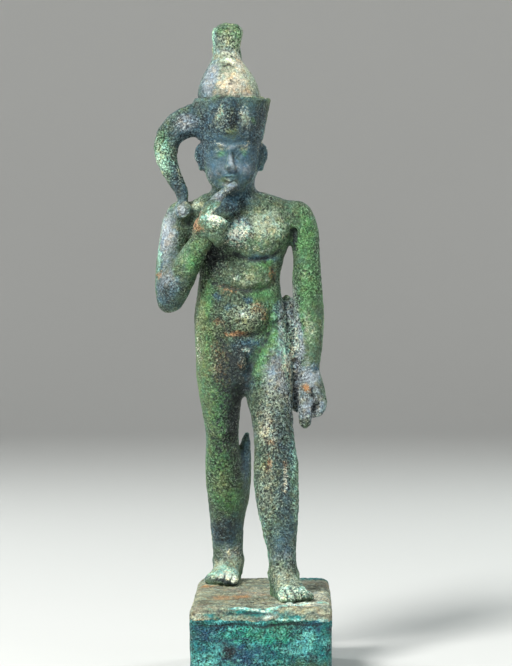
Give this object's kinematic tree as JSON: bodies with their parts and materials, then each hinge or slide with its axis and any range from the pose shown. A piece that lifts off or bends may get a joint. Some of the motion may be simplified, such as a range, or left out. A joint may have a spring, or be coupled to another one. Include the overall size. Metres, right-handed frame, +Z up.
{
  "type": "bronze statuette of a striding child god on a plinth",
  "caption": "Cast bronze child god striding on a block plinth, finger to chin, with a sidelock and a tall double crown.",
  "frame": {"origin": "middle of the plinth's underside", "axes": "+Z up through the crown; the figure faces -Y, so its own right hand is on -X"},
  "size_m": [0.0516, 0.0738, 0.189],
  "materials": {
    "figure_bronze": "corroded, matt and granular, green to blue-grey",
    "plinth_bronze": "corroded, matt, turquoise sides and a brown-grey top"
  },
  "bodies": {
    "root": {"figure": "figure_bronze", "plinth": "plinth_bronze"}
  },
  "joints": []
}
